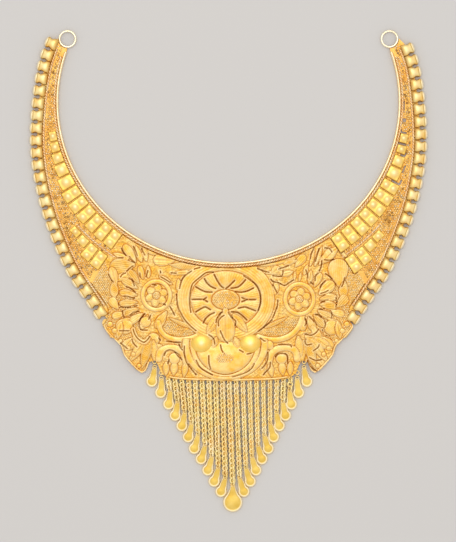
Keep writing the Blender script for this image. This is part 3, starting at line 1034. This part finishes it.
# Room that they leave beside the rim, the bead tips, the wires, the bricks and the slots
RIM_ROOM = 2.15
TIP_ROOM = 4.3
WIRE_ROOM = 0.75
BRICK_ROOM = 0.2
SLOT_ROOM = 0.25
BOWL_HOLLOW = ((-1.4, -31.8), 3.2, 1.9)
ALMONDS = [[(11.6, -23.3), (14, -21.4), (20, -18.4), (25.4, -16.4), (25.2, -19.5), (22.6, -22.2),
                (18, -23.8), (14, -23.8)],
           [(-12.2, -23), (-14, -21.4), (-20, -18.6), (-24.6, -17.4), (-24.2, -20.6), (-21.8, -22.8),
                (-18, -23.8), (-14.4, -23.6)]]
granule_finish = gold_finish("granule_gold", (1.0, 0.76, 0.32), (1.0, 0.6, 0.14), 0.3, 0.05, 1.0)
fine_finish = gold_finish("fine_granule_gold", (1.0, 0.79, 0.4), (1.0, 0.7, 0.22), 0.4, 0.05)

ball = bpy.data.meshes.new("granule")
shell = bmesh.new()
bmesh.ops.create_uvsphere(shell, u_segments=7, v_segments=5, radius=GRANULE_R * MM)
shell.to_mesh(ball)
shell.free()
one_ball = bpy.data.objects.new("granule", ball)
ball_tree, socket = new_tree("granules_on_points", {
    "Ball": "Object", "Smallest": "Float", "Largest": "Float", "Seed": "Int", "Material": "Material"})
shape = put(ball_tree, "GeometryNodeObjectInfo", {"Object": socket["Ball"]})
size = put(ball_tree, "FunctionNodeRandomValue",
           {2: socket["Smallest"], 3: socket["Largest"], "Seed": socket["Seed"]}, data_type="FLOAT")
spin = put(ball_tree, "FunctionNodeRandomValue", {0: (0, 0, 0), 1: (6, 6, 6), "Seed": socket["Seed"]},
           data_type="FLOAT_VECTOR")
placed = put(ball_tree, "GeometryNodeInstanceOnPoints",
             {"Points": socket["Geometry"], "Instance": shape.outputs["Geometry"],
              "Rotation": spin.outputs[0], "Scale": size.outputs[1]})
end_tree(ball_tree, placed.outputs[0], socket["Material"])


def scattered(low, high, step):
    """Points of a slightly shaken honeycomb over a rectangle."""
    across = np.arange(low[0], high[0], step)
    up = np.arange(low[1], high[1], step * 0.87)
    px, py = np.meshgrid(across, up, indexing="ij")
    px = px + step / 2 * (np.arange(len(up)) % 2)
    shake = rng.uniform(-0.13, 0.13, (2, *px.shape)) * step
    return np.stack([(px + shake[0]).ravel(), (py + shake[1]).ravel()], -1)


def sheet_height(points):
    """Height of the chased front at some points, and whether its ground is bare there."""
    i = np.clip(np.round((points[:, 0] - xs[0]) / GRID).astype(int), 0, len(xs) - 1)
    j = np.clip(np.round((points[:, 1] - ys[0]) / GRID).astype(int), 0, len(ys) - 1)
    return height[i, j], (ground & ~petals & (under_wires < 0.1))[i, j]


def distance_to(line, points):
    """Distance from each point to the nearest point of a line."""
    return np.array([np.hypot(*(line - q).T).min() for q in points])


def granule_piece(name, points, heights, smallest, largest, seed, finish):
    """Granules on some points of the sheet, sunk a little into their solder, some rubbed and some stained."""
    spots = np.c_[points, heights + GRANULE_R * largest * 0.3]
    marks = {"worn": 0.8 * rng.random(len(points)) ** 2.6, "recess": 0.8 * rng.random(len(points)) ** 2.6}
    values = {"Ball": one_ball, "Smallest": smallest, "Largest": largest, "Seed": seed}
    piece = grown(name, ball_tree, spots, values, finish, marks=marks)
    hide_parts("collar")


neck_oval = ((0, NECK_Y), NECK_HALF_W, NECK_HALF_H)
arm_edge = edge_pt(np.linspace(0.5, edge_len, 400), 0)
arm_line = np.concatenate([neck_pt(np.arange(20, ARM_END + 0.1, 2.0), 0), [(RING_X, RING_Y)], arm_edge])
for side, side_name in SIDES:
    p = scattered((20, -22), (70, 88), ARM_STEP)
    angle = np.degrees(np.arctan2(p[:, 0] / NECK_HALF_W, (NECK_Y - p[:, 1]) / NECK_HALF_H))
    keep = (angle > PLATE_ANGLE - 0.4) & inside_loop(arm_line, *p.T)
    keep &= (oval_away(*p.T, *neck_oval) > RIM_ROOM) & (distance_to(arm_edge, p) > TIP_ROOM)
    keep &= np.hypot(p[:, 0] - RING_X, p[:, 1] - RING_Y) > RING_SEAT + 0.2
    for line in side_wires[1]:
        keep &= distance_to(line, p) > WIRE_ROOM
    taken = [grown_loop(corners, BRICK_ROOM) for corners, _ in brick_bodies(side)]
    if side > 0:
        taken += [slot_loop(row, SLOT_ROOM) for row in SLOTS]
    for loop in taken:
        keep &= ~inside_loop(loop, *p.T)
    p = p[keep]
    granule_piece(f"granules_arm_{side_name}", p * [side, 1], np.full(len(p), SHEET_TOP - 0.02),
                  *ARM_SIZES, 3 + side, granule_finish)

p = scattered((xs[0], ys[0]), (xs[-1], ys[-1]), FRONT_STEP)
z, bare = sheet_height(p)
bare &= inside_loop(sheet_line, *p.T) & (oval_away(*p.T, *neck_oval) > 2.8)
in_button = oval_away(*p.T, MEDAL, BUTTON[0] - 0.3, BUTTON[1] - 0.3) < 0
in_rose = np.zeros(len(p), bool)
for x, y, _, _ in ROSES:
    in_rose |= np.hypot(p[:, 0] - x, p[:, 1] - y) < ROSE_CORE - 0.3
in_almond = inside_loop(ALMONDS[0], *p.T) | inside_loop(ALMONDS[1], *p.T)
in_bowl = oval_away(*p.T, *BOWL_HOLLOW) < 0
near_beads = distance_to(arm_edge, np.c_[np.abs(p[:, 0]), p[:, 1]]) < 14
keep = in_button | in_rose | (in_almond & bare) | in_bowl | (bare & near_beads)
granule_piece("granules_front", p[keep], z[keep], *FRONT_SIZES, 9, fine_finish)
bpy.data.objects.remove(one_ball)

# Domes.
# Two large hollow domes of polished gold, soldered over the corners of the bowl.
DOME_AT = [(-9.9, -26.3), (7.9, -26.3)]
DOME_HALF_W = 4.0
DOME_HALF_H = 3.65
DOME_FOOT = 1.4
DOME_RISE = 1.5
DOME_RINGS = 16
DOME_AROUND = 48
TOP_SHINE = [0.05, 0.15, 0.35, 0.5]
for (x, y), dome_name in zip(DOME_AT, ("dome_left", "dome_right")):
    points = []
    for t in np.linspace(math.pi / 2, 0.06, DOME_RINGS):
        for a in np.linspace(0, 2 * math.pi, DOME_AROUND + 1)[:-1]:
            points.append((x + DOME_HALF_W * math.sin(t) * math.cos(a),
                           y + DOME_HALF_H * math.sin(t) * math.sin(a), DOME_FOOT + DOME_RISE * math.cos(t)))
    shines = np.repeat([0.0] * (DOME_RINGS - len(TOP_SHINE)) + TOP_SHINE, DOME_AROUND)
    dome = solid(dome_name, points, rings_to_faces(DOME_RINGS, DOME_AROUND), brick_finish, "collar_gold", 50,
                 worn=shines)
    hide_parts("collar")

# Fringe eyelets.
# A small round wire eyelet lies flat under the hem for each strand of the fringe.
STRANDS = 11
STRAND_PITCH = 2.48
EYE_R = 0.7
EYE_WIRE = 0.45
EYE_OUT = 0.925
EYE_IN = 0.35
SEAT_GAP = 0.15
FRINGE_SHIFT = 0.3


def hem_y(k):
    """Height of the hem over a strand."""
    return float(np.interp(k * STRAND_PITCH, hem[::-1, 0], hem[::-1, 1]))


def strand_top(k, side):
    """Top end of a strand, under its eyelet."""
    return np.array([side * k * STRAND_PITCH + FRINGE_SHIFT, hem_y(k) - EYE_IN - EYE_OUT - SEAT_GAP])


def ring_points(half_w, half_l, wire, around, sides, corners=1.0):
    """Points of an oval ring of round wire that lies flat, its long way along y.

    It gets squarer as corners goes down from 1.
    """
    a = np.linspace(0, 2 * math.pi, around + 1)[:-1]
    line = np.stack([half_w * np.sign(np.cos(a)) * np.abs(np.cos(a)) ** corners,
                     half_l * np.sign(np.sin(a)) * np.abs(np.sin(a)) ** corners], -1)
    way = np.roll(line, -1, axis=0) - np.roll(line, 1, axis=0)
    out = np.stack([way[:, 1], -way[:, 0]], -1) / np.linalg.norm(way, axis=1, keepdims=True)
    turns = np.linspace(0, 2 * math.pi, sides + 1)[:-1]
    return [(*(p + o * wire * math.cos(b)), wire * math.sin(b)) for p, o in zip(line, out) for b in turns]


def ring_mesh(name, half_w, half_l, wire, around, sides, corners=1.0):
    """A closed oval ring of round wire as a mesh to repeat."""
    mesh = bpy.data.meshes.new(name)
    faces = [tuple(reversed(f)) for f in rings_to_faces(around, sides, closed=True)]
    points = ring_points(half_w, half_l, wire, around, sides, corners)
    mesh.from_pydata((np.array(points) * MM).tolist(), [], faces)
    return bpy.data.objects.new(name, mesh)


link_finish = gold_finish("link_gold", (1.0, 0.86, 0.42), (1.0, 0.75, 0.3), 0.5, 0.1, 0.8)
one_eyelet = ring_mesh("eyelet", EYE_R, EYE_R, EYE_WIRE / 2, 16, 8)
strands = [(0, 1)] + [(k, s) for s in (-1, 1) for k in range(1, STRANDS + 1)]
spots = [(strand_top(k, s)[0], hem_y(k) - EYE_IN, 1.0) for k, s in strands]
eyelets = grown("fringe_eyelets", turned_tree, spots, {"Shape": one_eyelet}, link_finish)
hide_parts("collar")
bpy.data.objects.remove(one_eyelet)

# Chains.
# Each strand is a chain of small oval wire links, each rolled well over against the next, that starts in
# its eyelet and ends in the eye of its drop.
CHAINS = 9
LINK_HALF_W = 0.84
LINK_HALF_L = 0.8
LINK_WIRE = 0.37
LINK_PITCH = 0.9
CHAIN_Z = 1.2
ROLLS = (-0.95, 0.2)
ROLL_PLAY = 0.15
NECK_LEN = 5.2
TIP_NECK_LEN = 6.4
FRINGE_LEAN = 1.3
# Drops from the tip outwards. Columns: x and y of the body's middle, x of the eye
DROPS = [(0, -84.45, 0), (4.2, -80.5, 2.6), (6.6, -76.8, 5), (8.8, -72.7, 7.3), (11.1, -68.6, 9.6),
         (13.5, -64.8, 12.1), (15.6, -60.6, 14.3), (17.8, -56.5, 16.7), (20.15, -52.7, 19.2),
         (22.4, -48.6, 21.8), (25.2, -44.4, 24.8), (28.3, -40.3, 27.5)]


def lean_at(y):
    """Sideways lean of the fringe at a height."""
    return FRINGE_SHIFT + FRINGE_LEAN * (-40 - y) / 46


def drop_eye(k, side):
    """Middle of the eye of a drop."""
    if k > CHAINS:
        return strand_top(k, side) - [0, EYE_OUT]
    _, y, eye_x = DROPS[k]
    return np.array([side * eye_x + lean_at(y), y + (TIP_NECK_LEN if k == 0 else NECK_LEN)])


def strand_name(kind, k, side):
    """Node name of the chain or the drop of a strand."""
    return kind + ("_centre" if k == 0 else f"_{'left' if side < 0 else 'right'}_{k}")


for k, side in strands:
    if k > CHAINS:
        continue
    name = strand_name("chain", k, side)
    top = np.array([strand_top(k, side)[0], hem_y(k) - EYE_IN])
    foot = drop_eye(k, side)
    long = np.linalg.norm(foot - top)
    way = (foot - top) / long
    first, last = LINK_HALF_L - 0.1, long - LINK_HALF_L + 0.1
    count = 2 * max(1, round((last - first) / LINK_PITCH / 2)) + 1
    runs = np.linspace(first, last, count)
    turn = math.atan2(way[1], way[0]) + math.pi / 2
    spots = [(*(top + way * r), CHAIN_Z) for r in runs]
    beside = [abs(foot[0] - drop_eye(n, side)[0]) for n in (k - 1, k + 1) if 0 <= n <= CHAINS]
    half_w = min(LINK_HALF_W, min(beside) / 2 - LINK_WIRE - 0.02)
    one_link = ring_mesh("link", half_w, LINK_HALF_L, LINK_WIRE, 16, 6, 0.65)
    rolls = np.where(np.arange(count) % 2, ROLLS[1], ROLLS[0]) + rng.uniform(-ROLL_PLAY, ROLL_PLAY, count)
    chain = grown(name + "_links", turned_tree, spots, {"Shape": one_link}, link_finish,
                  marks={"roll": rolls, "turn": [turn] * count,
                         "worn": 0.6 * rng.random(count) ** 2, "recess": 0.25 * rng.random(count) ** 3})
    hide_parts(name)
    bpy.data.objects.remove(one_link)

# Drops.
# Flat pear-shaped drops of sheet gold with a raised bright rim, a domed middle and a wire eye at the top.
DROP_FLAT = 1.08
# Outline of a drop as on the right, and of the tip. Columns: radius, ends of its round part in degrees, half
# width of its neck on the outer and on the inner side, how each side curves up to it, height of the dome
DROP = (2.12, 148, 408, 0.86, 1.06, 1.35, 1.1, 1.2)
TIP_DROP = (3.55, 134, 410, 0.95, 0.95, 1.8, 1.8, 1.34)
# Rim of a drop. Columns: distance in from the edge, height, stain, rubbed shine
DROP_FORM = [(0, 0.0, 0.0, 0.3), (0, 0.78, 0.0, 0.5), (0.12, 1.02, 0.0, 0.75), (0.32, 1.16, 0.0, 0.8),
             (0.54, 1.18, 0.0, 0.6), (0.72, 1.13, 0.15, 0.15), (0.84, 1.08, 0.2, 0.0)]
# Rings of the domed middle of a drop, as shares of the rim's inner edge
DROP_DOME = [0.9, 0.78, 0.62, 0.44, 0.26, 0.1, 0.02]
drop_finish = gold_finish("drop_gold", (0.85, 0.62, 0.17), (0.77, 0.52, 0.1), 0.5, 0.3, 0.5)
for k, side in strands:
    name = strand_name("drop", k, side)
    r, arc_from, arc_to, neck_out, neck_in, curve_out, curve_in, dome_top = TIP_DROP if k == 0 else DROP
    at = np.array([side * DROPS[k][0] + lean_at(DROPS[k][1]), DROPS[k][1]])
    eye = drop_eye(k, side) - at
    far = np.linalg.norm(eye)
    toward = eye / far
    arc = np.radians(np.linspace(arc_from, arc_to, 44))
    body = [(r * math.cos(a), r * math.sin(a)) for a in arc]
    (ax, ay), (bx, by) = body[0], body[-1]
    steps = np.linspace(0.1, 1, 9)
    top = far - 0.5
    outer = [(neck_out + (bx - neck_out) * (1 - t) ** curve_out, by + (top - by) * t) for t in steps]
    inner = [(-neck_in + (ax + neck_in) * (1 - t) ** curve_in, ay + (top - ay) * t) for t in steps[::-1]]
    middle, half = (neck_out - neck_in) / 2, (neck_out + neck_in) / 2
    cap = [(middle + half * math.cos(a), top + 0.6 * math.sin(a)) for a in np.linspace(0, math.pi, 9)[1:-1]]
    outline = np.array(body + outer + cap + inner)
    if side < 0:
        outline = outline[::-1] * [-1, 1]
    inward = np.roll(outline, 1, axis=0) - np.roll(outline, -1, axis=0)
    inward = np.stack([inward[:, 1], -inward[:, 0]], -1)
    inward /= np.linalg.norm(inward, axis=1, keepdims=True)
    points, hollows, shines = [], [], []
    for into, z, shade, shine in DROP_FORM:
        ring = outline + inward * into * np.clip(1.5 - outline[:, 1] / r * 0.75, 0.45, 1)[:, None]
        points += [(x, y, z) for x, y in ring]
        hollows += [shade] * len(ring)
        shines += [shine] * len(ring)
    inmost = np.array(points)[-len(outline):, :2]
    for share in DROP_DOME:
        ring = inmost * share
        out = np.hypot(*ring.T) / (r - 0.8)
        dome = DROP_FLAT + (dome_top - DROP_FLAT) * unit(1 - out ** 2)
        points += np.c_[ring, dome].tolist()
        hollows += (0.15 * unit(out) ** 4).tolist()
        shines += [0.0] * len(ring)
    eye_ring = np.array(ring_points(EYE_R, EYE_R, EYE_WIRE / 2, 16, 6)) + [0, far, 1.0]
    hollows += [0.0] * len(eye_ring)
    shines += [0.3] * len(eye_ring)
    faces = rings_to_faces(len(DROP_FORM) + len(DROP_DOME), len(outline))
    faces += [tuple(len(points) + j for j in f) for f in rings_to_faces(16, 6, closed=True)]
    points = np.concatenate([points, eye_ring])
    turn = math.atan2(toward[1], toward[0]) - math.pi / 2
    c, s = math.cos(turn), math.sin(turn)
    x, y = points[:, 0].copy(), points[:, 1].copy()
    points[:, 0], points[:, 1] = at[0] + c * x - s * y, at[1] + s * x + c * y
    drop = solid(name + "_body", points, faces, drop_finish, "drop_gold", 55, recess=hollows, worn=shines)
    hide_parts(name)

# End rings.
# The plain round wire rings at the ends of the arms stay as they are, in polished gold.
ring_finish = gold_finish("ring_gold", RUBBED, (1.0, 0.84, 0.56), 0.26, 0.05)
for ring_name in ("end_ring_left", "end_ring_right"):
    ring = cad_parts[ring_name]
    ring.data.materials.clear()
    ring.data.materials.append(ring_finish)

# Floor, light and camera.
# A plain pale floor, a wide soft light overhead and a smaller bright one a little above the necklace's top.
FLOOR_HALF = 1.5
CAMERA_AT = (-0.00018, 0, 0.8255)
floor_mesh = bpy.data.meshes.new("floor")
floor_corners = [(x * FLOOR_HALF, y * FLOOR_HALF, 0) for x, y in ((-1, -1), (1, -1), (1, 1), (-1, 1))]
floor_mesh.from_pydata(floor_corners, [], [(0, 1, 2, 3)])
floor_finish = bpy.data.materials.new("pale_paper")
floor_finish.use_nodes = True
paper = floor_finish.node_tree.nodes["Principled BSDF"].inputs
paper["Base Color"].default_value = (0.62, 0.61, 0.6, 1)
paper["Roughness"].default_value = 0.9
floor_mesh.materials.append(floor_finish)
floor = bpy.data.objects.new("floor", floor_mesh)
bpy.context.scene.collection.objects.link(floor)


def soft_light(name, size, power, at, colour=(1, 1, 1)):
    """A square soft light that points at the middle of the necklace."""
    lamp = bpy.data.lights.new(name, "AREA")
    lamp.size, lamp.energy, lamp.color = size, power, colour
    light = bpy.data.objects.new(name, lamp)
    light.location = at
    light.rotation_euler = (-Vector(at)).to_track_quat("-Z", "Y").to_euler()
    bpy.context.scene.collection.objects.link(light)


soft_light("wide_light", 1.6, 1.4, (0, 0.05, 1.2))
soft_light("key_light", 0.45, 2.4, (-0.06, 0.34, 1.1), (1, 0.98, 0.95))

world = bpy.data.worlds.new("pale_room")
world.use_nodes = True
backdrop = world.node_tree.nodes["Background"].inputs
backdrop["Color"].default_value = (1, 0.97, 0.94, 1)
backdrop["Strength"].default_value = 0.84
bpy.context.scene.world = world

lens = bpy.data.cameras.new("camera")
lens.lens, lens.sensor_width, lens.clip_start = 100, 24, 0.01
camera = bpy.data.objects.new("camera", lens)
camera.location = CAMERA_AT
bpy.context.scene.collection.objects.link(camera)
bpy.context.scene.camera = camera
bpy.context.scene.view_settings.view_transform = "Standard"
